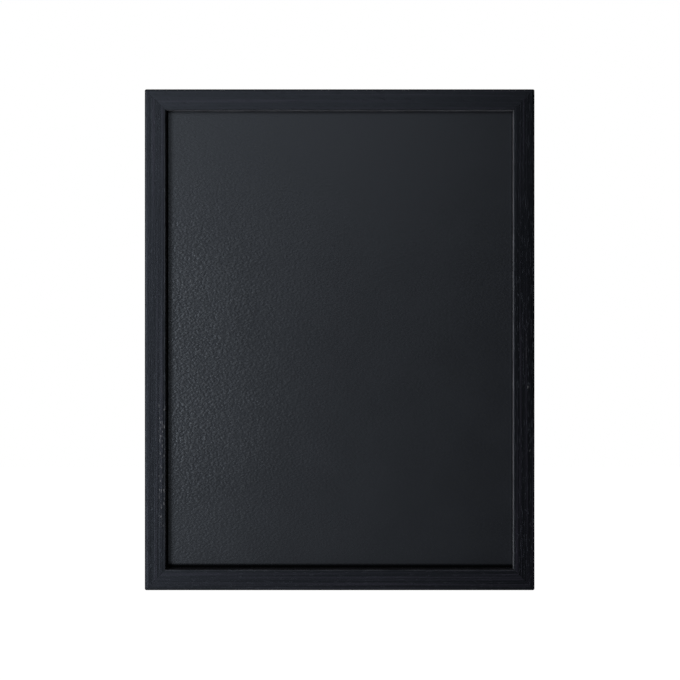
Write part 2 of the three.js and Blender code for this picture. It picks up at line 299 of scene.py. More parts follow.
def span(tree, value, low, high, new_low=0.0, new_high=1.0, smooth=True):
    """A value moved from one range to another and held inside it."""
    node = tree.nodes.new("ShaderNodeMapRange")
    node.interpolation_type = "SMOOTHSTEP" if smooth else "LINEAR"
    feed(tree, node.inputs["Value"], value)
    node.inputs["From Min"].default_value = low
    node.inputs["From Max"].default_value = high
    node.inputs["To Min"].default_value = new_low
    node.inputs["To Max"].default_value = new_high
    return node.outputs["Result"]


def maths(tree, operation, a, b=0.0):
    """One operation on one or two values."""
    node = tree.nodes.new("ShaderNodeMath")
    node.operation = operation
    feed(tree, node.inputs[0], a)
    feed(tree, node.inputs[1], b)
    return node.outputs[0]


def blended(tree, share, low, high):
    """A colour between two others."""
    node = tree.nodes.new("ShaderNodeMix")
    node.data_type = "RGBA"
    feed(tree, node.inputs["Factor"], share)
    feed(tree, node.inputs["A"], low)
    feed(tree, node.inputs["B"], high)
    return node.outputs["Result"]


def bumped(tree, height, depth, normal=None):
    """A normal from a height of 0 to 1 that stands for a depth in metres."""
    node = tree.nodes.new("ShaderNodeBump")
    node.inputs["Distance"].default_value = depth
    feed(tree, node.inputs["Height"], height)
    if normal is not None:
        tree.links.new(normal, node.inputs["Normal"])
    return node.outputs["Normal"]


# Materials


def along(axis, length):
    """Stretch that draws grain out along one axis."""
    return tuple(length if i == "XYZ".index(axis) else 1 for i in range(3))


def lacquered_wood(name, axis, look):
    """Black lacquer that sinks into open pores, with its grain along one axis."""
    material, tree, shader = surface(name)
    streaks = noise(tree, place(tree, along(axis, 130)), 0.66, 3.0, 0.55)
    figure = noise(tree, place(tree, along(axis, 12), (7, 3, 5)), 0.12, 2.0)
    pore_field = noise(tree, place(tree, along(axis, 9), (31, 17, 11)), 1.15, 1.0, 0.4)
    pores = span(tree, pore_field, 0.60, 0.70)
    peel = noise(tree, place(tree), 0.5, 1.0)

    tone = blended(tree, span(tree, streaks, 0.45, 0.72), LACQUER_DARK, LACQUER_PALE)
    tone = blended(tree, maths(tree, "MULTIPLY", pores, 0.35), tone, PORE_DUST)
    # Painted glints on the left stile, pale nicks on the right stile
    if look["marks"] is not None:
        tone = blended(tree, look["marks"](tree), tone, GLINT_AND_SCRATCH)
    # Painted light and shade on the inner lip wall, set for each length
    patches = noise(tree, place(tree, along(axis, 6), (2, 19, 4)), 0.35, 2.0)
    lip = blended(tree, span(tree, patches, 0.35, 0.65), *look["lip"])
    tone = blended(tree, lip_light_and_shade_mask(tree, axis), tone, lip)
    # Painted highlight along the inner front edge
    if look["painted_arris_highlight"]:
        tone = blended(tree, arris_highlight_mask(tree, axis), tone, ARRIS_HIGHLIGHT)
    feed(tree, shader.inputs["Base Color"], tone)

    rough = span(tree, streaks, 0.25, 0.75, *LACQUER_ROUGH, False)
    rough = maths(tree, "ADD", rough, maths(tree, "MULTIPLY", pores, PORE_DULLNESS))
    dull = side_mask(tree, axis, look["dull_from"])
    rough = maths(tree, "ADD", rough, maths(tree, "MULTIPLY", dull, SIDE_DULLNESS))
    feed(tree, shader.inputs["Roughness"], rough)
    feed(tree, shader.inputs["Specular IOR Level"], look["shine"])
    feed(tree, shader.inputs["Specular Tint"], LACQUER_SHEEN)
    relief = maths(tree, "SUBTRACT", streaks, maths(tree, "MULTIPLY", pores, 0.45))
    normal = bumped(tree, relief, look["grain"])
    normal = bumped(tree, figure, look["grain"] / 2, normal)
    normal = bumped(tree, peel, PEEL_RELIEF, normal)
    feed(tree, shader.inputs["Normal"], normal)
    return material


def from_middle(tree, axis):
    """Distance from the board's middle, and half the board, across a length of moulding."""
    middle, half = (0.0, HALF_WIDTH) if axis == "Z" else (CENTRE_Z, HALF_HEIGHT)
    across = axis_of(tree, "X" if axis == "Z" else "Z")
    return maths(tree, "ABSOLUTE", maths(tree, "SUBTRACT", across, middle / MM)), half


def lip_light_and_shade_mask(tree, axis):
    """The wall between the moulding's face and the sheet, where light and shade are painted."""
    offset, half = from_middle(tree, axis)
    edge = (half - FACE_WIDTH) / MM
    near = span(tree, offset, edge + LIP_ACROSS[0], edge + LIP_ACROSS[1])
    front = FRONT_Y / MM
    deep = span(tree, axis_of(tree, "Y"), front + LIP_DEPTH[0], front + LIP_DEPTH[1])
    return maths(tree, "MULTIPLY", near, deep)


def arris_highlight_mask(tree, axis):
    """Painted highlight along the inner front edge, patchy along its length."""
    offset, half = from_middle(tree, axis)
    edge = (half - FACE_WIDTH + INNER_EASE) / MM
    near = span(tree, offset, edge + ARRIS_ACROSS[0], edge + ARRIS_ACROSS[1])
    painted_arris_highlight = noise(tree, place(tree, along(axis, 8), (6, 1, 13)), 0.4, 2.0)
    return maths(tree, "MULTIPLY", near, span(tree, painted_arris_highlight, 0.35, 0.65, 0.25, 1.0))


def side_mask(tree, axis, dull_from):
    """The outer side, where the lacquer was sprayed at a slant and dried dull."""
    offset, half = from_middle(tree, axis)
    start = (half - dull_from) / MM
    return span(tree, offset, start, start + SIDE_FADE)


def painted_glint_flecks(tree):
    """Painted glints: short bright flecks along the inner edge of the left stile's lower half."""
    x = axis_of(tree, "X")
    z = axis_of(tree, "Z")
    inner = span(tree, x, *FLECKS_ACROSS)
    below = span(tree, z, *FLECKS_TOP)
    above = span(tree, z, *FLECKS_FOOT)
    zone = maths(tree, "MULTIPLY", inner, maths(tree, "MULTIPLY", below, above))
    field = noise(tree, place(tree, along("Z", 4.5), (3, 9, 27)), 1.15, 0.0)
    flecks = span(tree, field, 0.66, 0.72)
    return maths(tree, "MULTIPLY", flecks, zone)


def nick_marks(tree):
    """A few fine nicks along the face of the right stile."""
    x = axis_of(tree, "X")
    z = axis_of(tree, "Z")
    total = 0.0
    for at_x, at_z, length, strength in NICKS:
        off_x = maths(tree, "ABSOLUTE", maths(tree, "SUBTRACT", x, at_x))
        off_z = maths(tree, "ABSOLUTE", maths(tree, "SUBTRACT", z, at_z + CENTRE_Z / MM))
        narrow = span(tree, off_x, *NICK_ACROSS)
        short = span(tree, off_z, length / 2, length / 2 - NICK_FADE, 0.0, strength)
        total = maths(tree, "MAXIMUM", total, maths(tree, "MULTIPLY", narrow, short))
    ragged = span(tree, noise(tree, place(tree, along("Z", 3)), 1.1, 1.0), 0.35, 0.6)
    return maths(tree, "MULTIPLY", total, ragged)


def stained_back(name, axis):
    """Thin black stain on bare wood, behind the lacquer."""
    material, tree, shader = surface(name)
    streaks = noise(tree, place(tree, along(axis, 26), (5, 1, 9)), 0.5, 4.0, 0.6)
    worn = noise(tree, place(tree, along(axis, 5)), 0.09, 3.0, 0.6)
    pores = span(tree, noise(tree, place(tree, along(axis, 8)), 1.3, 1.0), 0.57, 0.66)
    tone = blended(tree, span(tree, streaks, 0.35, 0.7), STAIN_DARK, STAIN_PALE)
    tone = blended(tree, span(tree, worn, 0.58, 0.72), tone, STAIN_THIN)
    feed(tree, shader.inputs["Base Color"], tone)
    feed(tree, shader.inputs["Roughness"], span(tree, streaks, 0.2, 0.8, 0.6, 0.78))
    relief = maths(tree, "SUBTRACT", streaks, pores)
    feed(tree, shader.inputs["Normal"], bumped(tree, relief, STAIN_RELIEF))
    return material


def chalk_coating():
    """Dark grey coating, rolled on so that it dries in small pebbles."""
    material, tree, shader = surface("chalk_coating")
    worms = noise(tree, place(tree, PEBBLE_STRETCH), 0.53, 0.6, 0.4, 0.3)
    grains = cells(tree, place(tree, PEBBLE_STRETCH, (5, 0, 9)), 0.48)
    pebble = maths(tree, "SUBTRACT", worms, maths(tree, "MULTIPLY", grains, 0.45))
    fine = noise(tree, place(tree, shift=(40, 8, 3)), 2.6, 1.0)
    cloud = noise(tree, place(tree, shift=(11, 5, 2)), 0.018, 3.0, 0.55)
    tone = blended(tree, span(tree, cloud, 0.3, 0.7), COAT_DARK, COAT_PALE)
    right_share, top_share, foot_share = COARSE_SHARES
    coarse = span(tree, axis_of(tree, "X"), *COARSE_ACROSS, 1.0, right_share)
    height = maths(tree, "SUBTRACT", axis_of(tree, "Z"), CENTRE_Z / MM)
    coarse = maths(tree, "MULTIPLY", coarse, span(tree, height, *COARSE_TOP, top_share, 1.0))
    coarse = maths(tree, "MULTIPLY", coarse, span(tree, height, *COARSE_FOOT, foot_share, 1.0))
    # Pale pebble tops: partly dust, partly painted sheen, strongest at the left middle where the
    # highlight falls
    tops = span(tree, pebble, 0.27, 0.53, 0.05, 1.0)
    dust_and_sheen = maths(tree, "MULTIPLY", tops, maths(tree, "POWER", coarse, 2.2))
    tone = blended(tree, dust_and_sheen, tone, PEBBLE_DUST_AND_SHEEN)
    # Painted shadow along the sheet beside the stiles and the foot
    rim = painted_shadow_mask(tree)
    feed(tree, shader.inputs["Base Color"], blended(tree, rim, tone, PAINTED_SHADOW_BLACK))
    rough = span(tree, cloud, 0.25, 0.75, *COAT_ROUGH)
    rough = maths(tree, "ADD", rough, maths(tree, "MULTIPLY", rim, RIM_DULLNESS))
    feed(tree, shader.inputs["Roughness"], rough)
    feed(tree, shader.inputs["Metallic"], maths(tree, "MULTIPLY", rim, RIM_METAL))
    feed(tree, shader.inputs["Specular IOR Level"], COAT_SHINE)
    feed(tree, shader.inputs["Specular Tint"], COAT_SHEEN)
    patches = noise(tree, place(tree, shift=(17, 6, 8)), 0.07, 2.0)
    coarse = maths(tree, "MULTIPLY", coarse, span(tree, patches, 0.35, 0.6, 0.75, 1.0))
    normal = bumped(tree, maths(tree, "MULTIPLY", pebble, coarse), PEBBLE_RELIEF)
    normal = bumped(tree, fine, FINE_RELIEF, normal)
    feed(tree, shader.inputs["Normal"], normal)
    return material


def painted_shadow_mask(tree):
    """Painted shadow: a dull black strip along the sheet beside the stiles and the foot."""
    across = axis_of(tree, "X")
    inner = (HALF_WIDTH - FACE_WIDTH) / MM
    left = span(tree, across, RIM_LEFT[0] - inner, RIM_LEFT[1] - inner)
    right = span(tree, across, inner - RIM_RIGHT[0], inner - RIM_RIGHT[1])
    foot_edge = (OUTER_LOW.z + FACE_WIDTH) / MM
    foot = span(tree, axis_of(tree, "Z"), foot_edge + RIM_FOOT[0], foot_edge + RIM_FOOT[1])
    return maths(tree, "MAXIMUM", maths(tree, "MAXIMUM", left, right), foot)


def pressed_fibre():
    """Hardboard: brown matted fibre with the print of the press's wire screen."""
    material, tree, shader = surface("hardboard_fibre")
    matted = noise(tree, place(tree), 0.9, 5.0, 0.65, 1.5)
    cloud = noise(tree, place(tree, shift=(3, 5, 7)), 0.03, 3.0)
    warp = waves(tree, place(tree), 0.36, "X", 0.6)
    weft = waves(tree, place(tree), 0.36, "Z", 0.6)
    screen = maths(tree, "MULTIPLY", warp, weft)
    tone = blended(tree, span(tree, matted, 0.3, 0.7), FIBRE_DARK, FIBRE_PALE)
    reddish = maths(tree, "MULTIPLY", span(tree, cloud, 0.35, 0.7), 0.5)
    tone = blended(tree, reddish, tone, FIBRE_RED)
    tone = blended(tree, maths(tree, "MULTIPLY", screen, 0.3), tone, FIBRE_DARK)
    feed(tree, shader.inputs["Base Color"], tone)
    feed(tree, shader.inputs["Roughness"], span(tree, matted, 0.2, 0.8, 0.7, 0.88))
    normal = bumped(tree, screen, SCREEN_RELIEF)
    normal = bumped(tree, matted, FIBRE_RELIEF, normal)
    feed(tree, shader.inputs["Normal"], normal)
    return material


def plated_steel():
    """Bright nickel plate with fine tumbling marks."""
    material, tree, shader = surface("nickel_plate")
    marks = noise(tree, place(tree, (1, 1, 6)), 3.2, 3.0, 0.6)
    cloud = noise(tree, place(tree), 0.35, 2.0)
    tone = blended(tree, span(tree, cloud, 0.3, 0.7), NICKEL_DARK, NICKEL_PALE)
    feed(tree, shader.inputs["Base Color"], tone)
    shader.inputs["Metallic"].default_value = 1
    feed(tree, shader.inputs["Roughness"], span(tree, marks, 0.3, 0.7, 0.26, 0.40))
    feed(tree, shader.inputs["Normal"], bumped(tree, marks, TUMBLE_RELIEF))
    return material


def spring_steel():
    """Dull rolled strip with faint rolling lines and heat tint."""
    material, tree, shader = surface("spring_steel")
    rolling = noise(tree, place(tree, (12, 1, 12)), 2.2, 3.0, 0.6)
    tint = noise(tree, place(tree, shift=(9, 2, 4)), 0.22, 2.0)
    tone = blended(tree, span(tree, rolling, 0.3, 0.7), SPRING_DARK, SPRING_PALE)
    blued = maths(tree, "MULTIPLY", span(tree, tint, 0.45, 0.75), 0.35)
    tone = blended(tree, blued, tone, SPRING_BLUE)
    feed(tree, shader.inputs["Base Color"], tone)
    shader.inputs["Metallic"].default_value = 1
    feed(tree, shader.inputs["Roughness"], span(tree, rolling, 0.25, 0.75, 0.34, 0.52))
    feed(tree, shader.inputs["Normal"], bumped(tree, rolling, ROLLING_RELIEF))
    return material


def moulded_rubber():
    """Matte black rubber with a skin of dust."""
    material, tree, shader = surface("moulded_rubber")
    skin = noise(tree, place(tree), 3.5, 3.0, 0.6)
    dust = noise(tree, place(tree, shift=(4, 4, 8)), 0.6, 3.0)
    tone = blended(tree, span(tree, dust, 0.4, 0.8), RUBBER_DARK, RUBBER_DUSTY)
    feed(tree, shader.inputs["Base Color"], tone)
    feed(tree, shader.inputs["Roughness"], span(tree, skin, 0.2, 0.8, 0.72, 0.9))
    feed(tree, shader.inputs["Normal"], bumped(tree, skin, SKIN_RELIEF))
    return material


# Meshes


def piece(name, points, faces, materials, crease=30):
    """A named object from points and faces, smooth except at sharp edges."""
    mesh = bpy.data.meshes.new(name)
    mesh.from_pydata(points, [], faces)
    work = bmesh.new()
    work.from_mesh(mesh)
    bmesh.ops.recalc_face_normals(work, faces=work.faces)
    work.to_mesh(mesh)
    work.free()
    shade(mesh, crease)
    for material in materials:
        mesh.materials.append(material)
    made = bpy.data.objects.new(name, mesh)
    bpy.context.scene.collection.objects.link(made)
    return made


def settle(made):
    """Applies an object's modifiers to its mesh."""
    graph = bpy.context.evaluated_depsgraph_get()
    mesh = bpy.data.meshes.new_from_object(made.evaluated_get(graph))
    made.modifiers.clear()
    made.data = mesh


def cut(made, cutters):
    """Takes the cutters out of an object's mesh."""
    for cutter in cutters:
        modifier = made.modifiers.new("cut", "BOOLEAN")
        modifier.operation = "DIFFERENCE"
        modifier.solver = "EXACT"
        modifier.object = cutter
    settle(made)
    for cutter in cutters:
        bpy.data.objects.remove(cutter)


def ease(made, width, crease=40):
    """Rounds an object's sharp edges a little."""
    modifier = made.modifiers.new("ease", "BEVEL")
    modifier.width = width
    modifier.segments = 2
    modifier.limit_method = "ANGLE"
    modifier.angle_limit = math.radians(35)
    settle(made)
    shade(made.data, crease)


def shade(mesh, crease):
    """Smooth shading, with edges sharper than the crease kept sharp."""
    mesh.shade_smooth()
    mesh.set_sharp_from_angle(angle=math.radians(crease))


def prism(outline, y0, y1):
    """Points and faces of an outline in X and Z, as thick as y0 to y1."""
    count = len(outline)
    points = [(x, y, z) for y in (y0, y1) for x, z in outline]
    faces = [tuple(range(count)), tuple(range(2 * count - 1, count - 1, -1))]
    for i in range(count):
        j = (i + 1) % count
        faces.append((i, j, j + count, i + count))
    return points, faces


def rings_of(rows, closed=False, capped=False):
    """Faces that join rows of equal length, each row a closed loop of points."""
    count = len(rows[0])
    points = [p for row in rows for p in row]
    faces = []
    for k in range(len(rows) if closed else len(rows) - 1):
        a = k * count
        b = ((k + 1) % len(rows)) * count
        for i in range(count):
            j = (i + 1) % count
            faces.append((a + i, a + j, b + j, b + i))
    if capped:
        faces.append(tuple(range(count - 1, -1, -1)))
        last = (len(rows) - 1) * count
        faces.append(tuple(range(last, last + count)))
    return points, faces


def round_row(radius, y, sides):
    """A circle of points about Y."""
    row = []
    for i in range(sides):
        angle = 2 * math.pi * i / sides
        row.append((radius * math.cos(angle), y, radius * math.sin(angle)))
    return row


def lathe(profile, sides):
    """Points and faces of a round form turned about Y, from radius and height pairs."""
    return rings_of([round_row(radius, y, sides) for radius, y in profile], capped=True)


def moved(made, x=0.0, y=0.0, z=0.0, turn=0.0):
    """Turns an object's mesh about Y, then shifts it."""
    for vertex in made.data.vertices:
        px, py, pz = vertex.co
        vertex.co.x = px * math.cos(turn) + pz * math.sin(turn) + x
        vertex.co.y = py + y
        vertex.co.z = pz * math.cos(turn) - px * math.sin(turn) + z
    made.data.update()
    return made


def arc(cu, cy, radius, start, end, steps):
    """Points on an arc, its ends included."""
    found = []
    for i in range(steps + 1):
        angle = math.radians(start + (end - start) * i / steps)
        found.append((cu + radius * math.cos(angle), cy + radius * math.sin(angle)))
    return found


# Moulding


def moulding_section():
    """Distance in from the outer edge, and depth along Y, round the section."""
    front = []
    outer = OUTER_EASE
    inner = FACE_WIDTH - INNER_EASE
    front += arc(outer, FRONT_Y + outer, outer, 180, 270, ARC_STEPS)
    for share in PILLOW_STOPS:
        front.append((outer + share * PILLOW_RUN, FRONT_Y))
    front.append(((outer + inner) / 2, FRONT_Y))
    for share in reversed(PILLOW_STOPS):
        front.append((inner - share * PILLOW_RUN, FRONT_Y))
    front += arc(inner, FRONT_Y + INNER_EASE, INNER_EASE, 270, 360, ARC_STEPS)
    section = [(u, y + pillow(u, y)) for u, y in front]
    section += [(FACE_WIDTH, SHEET_FRONT - LIP_LOOP), (FACE_WIDTH, SHEET_FRONT)]
    section += [(LAND_WIDTH, SHEET_FRONT), (LAND_WIDTH, 0)]
    section += [(LAND_WIDTH - EDGE_LOOP, 0), (BACK_EASE + EDGE_LOOP, 0)]
    section += arc(BACK_EASE, -BACK_EASE, BACK_EASE, 90, 180, ARC_STEPS)
    section += [(0, -BACK_EASE - EDGE_LOOP), (0, FRONT_Y + OUTER_EASE + EDGE_LOOP)]
    return section


def pillow(u, y):
    """How far sanding has dropped the face towards its two edges."""
    if y > FRONT_Y + INNER_EASE * 0.999:
        return 0.0
    edge = min(u - OUTER_EASE, FACE_WIDTH - INNER_EASE - u)
    share = min(max(1 - edge / PILLOW_RUN, 0.0), 1.0)
    depth = (y - FRONT_Y) / INNER_EASE
    return PILLOW_DROP * share * share * max(0.0, 1 - depth)


def shrunk(section, amount):
    """The section with its outline moved inwards."""
    found = []
    count = len(section)
    for i in range(count):
        here = Vector(section[i])
        back = (here - Vector(section[i - 1])).normalized()
        ahead = (Vector(section[(i + 1) % count]) - here).normalized()
        side = Vector((-back.y, back.x)) + Vector((-ahead.y, ahead.x))
        side = side / max(side.length_squared / 2, 0.5)
        found.append((here.x + amount * side.x, here.y + amount * side.y))
    return found


def corner_inset(along_edge):
    """How far the rounded corner stands in from the outer line."""
    if along_edge >= CORNER_RADIUS:
        return 0.0
    run = CORNER_RADIUS - along_edge
    return CORNER_RADIUS - math.sqrt(CORNER_RADIUS**2 - run**2)


def length_points(half):
    """Rows of section points from the left mitre to the right one."""
    section = moulding_section()
    tight = shrunk(section, MITRE_EASE)
    first = CORNER_RADIUS * (1 - math.sqrt(0.5))
    offsets = [0.0, MITRE_EASE]
    offsets += [offset * MM for offset in (0.25, 0.45, 0.7, 1.0, 1.5, 4, 30)]
    rows = []
    for index, offset in enumerate(offsets):
        ring = tight if index == 0 else section
        row = []
        for (u, y), (base, _) in zip(ring, section):
            share = max(0.0, 1 - base / CORNER_REACH)
            end = u + share * corner_inset(first)
            inset = u + share * corner_inset(first + offset)
            row.append((half - end - MITRE_GAP / 2 - offset, y, -inset))
        rows.append(row)
    mirrored = [[(-x, y, z) for x, y, z in row] for row in rows]
    return mirrored + rows[::-1]


def nail_cutter(apex, turn, x, z):
    """Slot of one V-nail, in its corner's own frame, moved to the corner."""
    outer = -(apex - NAIL_THICKNESS / 2 - FIT)
    inner = -(apex + NAIL_THICKNESS / 2 + FIT)
    tip = -(apex - NAIL_LEG - FIT)
    outline = [(inner, inner), (tip, inner), (tip, outer)]
    outline += [(outer, outer), (outer, tip), (inner, tip)]
    made = piece("cutter", *prism(outline, -NAIL_DEPTH - FIT, MM), [])
    return moved(made, x, 0, z, turn)


def frame_length(name, axis, half, turn, tab_places, screw_place=None):
    """One mitred length, cut for its nails, tabs and screw, in the row frame."""
    points, faces = rings_of(length_points(half), capped=True)
    lacquer = lacquered_wood(name + "_lacquer", axis, LOOKS[name])
    stain = stained_back(name + "_stain", axis)
    made = piece(name + "_moulding", points, faces, [])
    cutters = []
    for apex in NAIL_APEXES:
        cutters.append(nail_cutter(apex, 0, half, 0))
        cutters.append(nail_cutter(apex, -math.pi / 2, -half, 0))
    tab_y = tab_front()
    for along_it in tab_places:
        start = along_it - TAB_HALF_WIDTH - FIT
        end = along_it + TAB_HALF_WIDTH + FIT
        low = -LAND_WIDTH - MM
        high = -LAND_WIDTH + TAB_BITE + FIT
        outline = [(start, low), (end, low), (end, high), (start, high)]
        slot = prism(outline, tab_y - FIT, tab_y + TAB_THICKNESS + FIT)
        cutters.append(piece("cutter", *slot, []))
    if screw_place is not None:
        hole = [(SCREW_CREST + FIT, -SCREW_LENGTH), (SCREW_CREST + FIT, MM)]
        bore = piece("cutter", *lathe(hole, 24), [])
        cutters.append(moved(bore, screw_place, 0, -(HALF_WIDTH - KNUCKLE_AXIS.x)))
    cut(made, cutters)
    from_centre = HALF_HEIGHT if axis == "X" else HALF_WIDTH
    x = from_centre * math.sin(turn)
    z = from_centre * math.cos(turn) + CENTRE_Z
    moved(made, x, 0, z, turn)
    made.data.materials.clear()
    made.data.materials.append(lacquer)
    made.data.materials.append(stain)
    for face in made.data.polygons:
        unseen = face.normal.y > 0.75 or behind_face(face.center)
        face.material_index = 1 if unseen else 0
    shade(made.data, 30)
    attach(made, "board")
    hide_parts(name)


def behind_face(point):
    """Whether a point on the moulding lies in the rebate or in a slot."""
    across = HALF_WIDTH - abs(point.x)
    upright = HALF_HEIGHT - abs(point.z - CENTRE_Z)
    return point.y > SHEET_FRONT - 0.2 * MM and min(across, upright) > 0.4 * MM


def tab_front():
    """Depth at which the retainer tabs' flat fronts lie."""
    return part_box("top_rail_retainer_tab_1")[0].y


# Steel


def retainer_tab(node, x, z, turn, material):
    """A flexible point, its tip in the wood and its free end lifted."""

    def half_width(v):
        if v < -TAB_BITE + TAB_POINT:
            return TAB_HALF_WIDTH * (v + TAB_BITE) / TAB_POINT
        rest = TAB_REACH + TAB_LIFT - v
        if rest < TAB_CORNER:
            lag = TAB_CORNER - rest
            return TAB_HALF_WIDTH - TAB_CORNER + math.sqrt(max(TAB_CORNER**2 - lag**2, 0))
        return TAB_HALF_WIDTH

    def bent(v, lift):
        start = TAB_REACH - TAB_BEND / 2
        radius = TAB_BEND / TAB_LIFT_ANGLE
        if v <= start:
            return v, lift
        turned = min((v - start) / radius, TAB_LIFT_ANGLE)
        past = max(v - start - TAB_BEND, 0)
        run = start + (radius - lift) * math.sin(turned) + past * math.cos(turned)
        rise = radius - (radius - lift) * math.cos(turned) + past * math.sin(turned)
        return run, rise

    stops = [-TAB_BITE + 0.05 * MM, -TAB_BITE + TAB_POINT, 0, 3 * MM, 6 * MM]
    stops += [TAB_REACH - TAB_BEND / 2 + TAB_BEND * i / 6 for i in range(7)]
    for i in range(6):
        turned = math.radians(15 * i)
        stops.append(TAB_REACH + TAB_LIFT - TAB_CORNER * (1 - math.sin(turned)))
    rows = []
    for v in stops:
        half = half_width(v)
        row = []
        for side, lift in ((-1, 0), (1, 0), (1, TAB_THICKNESS), (-1, TAB_THICKNESS)):
            run, rise = bent(v, lift)
            row.append((side * half, tab_front() + rise, -run))
        rows.append(row)
    made = piece(node + "_point", *rings_of(rows, capped=True), [material])
    ease(made, TAB_EASE)
    moved(made, x, 0, z, turn)
    fitted(made, node)


def fitted(made, node, body="board"):
    """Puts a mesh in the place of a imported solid."""
    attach(made, body)
    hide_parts(node)


def hanger_strap(side, material):
    """Strap rolled into a knuckle round the ring's bar, with a rounded foot."""
    node = ("left" if side < 0 else "right") + "_hanger_strap"
    middle = KNUCKLE_BORE + STRAP_THICKNESS / 2
    path = []
    for i in range(9):
        angle = math.radians(90 * i / 8)
        down = SCREW_DROP + STRAP_WIDTH / 2 * math.cos(angle)
        half = STRAP_WIDTH / 2 * math.sin(angle)
        path.append((down, STRAP_THICKNESS / 2, (0, 1), max(half, 0.25 * MM)))
    for down in (10 * MM, 6 * MM, 3 * MM, 1 * MM):
        path.append((down, STRAP_THICKNESS / 2, (0, 1), STRAP_WIDTH / 2))
    turns = 28
    for i in range(turns + 1):
        angle = -math.pi / 2 - KNUCKLE_ROLL * i / turns
        out = (math.cos(angle), math.sin(angle))
        down = middle * out[0]
        high = KNUCKLE_AXIS.y + middle * out[1]
        path.append((down, high, (-out[0], -out[1]), STRAP_WIDTH / 2))
    rows = []
    for down, high, normal, half in path:
        row = []
        for across, offset in ((-1, -1), (1, -1), (1, 1), (-1, 1)):
            step = offset * STRAP_THICKNESS / 2
            x = side * KNUCKLE_AXIS.x + across * half
            y = high + normal[1] * step
            z = KNUCKLE_AXIS.z - down - normal[0] * step
            row.append((x, y, z))
        rows.append(row)
    made = piece(node + "_rolled", *rings_of(rows, capped=True), [material])
    bore = SCREW_CREST + STRAP_HOLE_PLAY
    hole = piece("cutter", *lathe([(bore, -MM), (bore, 2 * MM)], 32), [])
    moved(hole, side * KNUCKLE_AXIS.x, 0, KNUCKLE_AXIS.z - SCREW_DROP)
    cut(made, [hole])
    ease(made, STRAP_EASE)
    fitted(made, node)


def ring_path():
    """Points round the D-ring's wire, seen from the front, about the bar."""
    half = RING_HALF_WIDTH
    found = []

    def curve(p0, p1, p2, steps):
        ratio = 0.5523
        a = [p0[i] + (p1[i] - p0[i]) * ratio for i in (0, 1)]
        b = [p2[i] + (p1[i] - p2[i]) * ratio for i in (0, 1)]
        for k in range(steps):
            t = k / steps
            s = 1 - t
            weights = (s * s * s, 3 * s * s * t, 3 * s * t * t, t * t * t)
            found.append(tuple(
                weights[0] * p0[i] + weights[1] * a[i] + weights[2] * b[i] + weights[3] * p2[i]
                for i in (0, 1)
            ))

    def line(p0, p1, steps):
        for k in range(steps):
            t = k / steps
            found.append((p0[0] + (p1[0] - p0[0]) * t, p0[1] + (p1[1] - p0[1]) * t))

    line((RING_HALF_BAR, 0), (-RING_HALF_BAR, 0), 8)
    curve((-RING_HALF_BAR, 0), (-half, 0), (-half, -RING_BEND), 8)
    line((-half, -RING_BEND), (-half, -RING_SIDE), 3)
    curve((-half, -RING_SIDE), (-half, -RING_DROP), (0, -RING_DROP), 16)
    curve((0, -RING_DROP), (half, -RING_DROP), (half, -RING_SIDE), 16)
    line((half, -RING_SIDE), (half, -RING_BEND), 3)
    curve((half, -RING_BEND), (half, 0), (RING_HALF_BAR, 0), 8)
    return found


def hanger_ring(side, material):
    """D-ring of bent wire, hanging from the knuckle."""
    name = "left" if side < 0 else "right"
    path = ring_path()
    rows = []
    sides = 20
    for i, (x, z) in enumerate(path):
        before = Vector(path[i - 1])
        after = Vector(path[(i + 1) % len(path)])
        ahead = (after - before).normalized()
        out = Vector((-ahead.y, ahead.x))
        row = []
        for k in range(sides):
            angle = 2 * math.pi * k / sides
            lean = WIRE_RADIUS * math.cos(angle)
            row.append((
                side * KNUCKLE_AXIS.x + x + out.x * lean,
                KNUCKLE_AXIS.y + WIRE_RADIUS * math.sin(angle),
                KNUCKLE_AXIS.z + z + out.y * lean,
            ))
        rows.append(row)
    node = name + "_hanger_ring"
    made = piece(node + "_wire", *rings_of(rows, closed=True), [material], 60)
    fitted(made, node, name + "_ring")


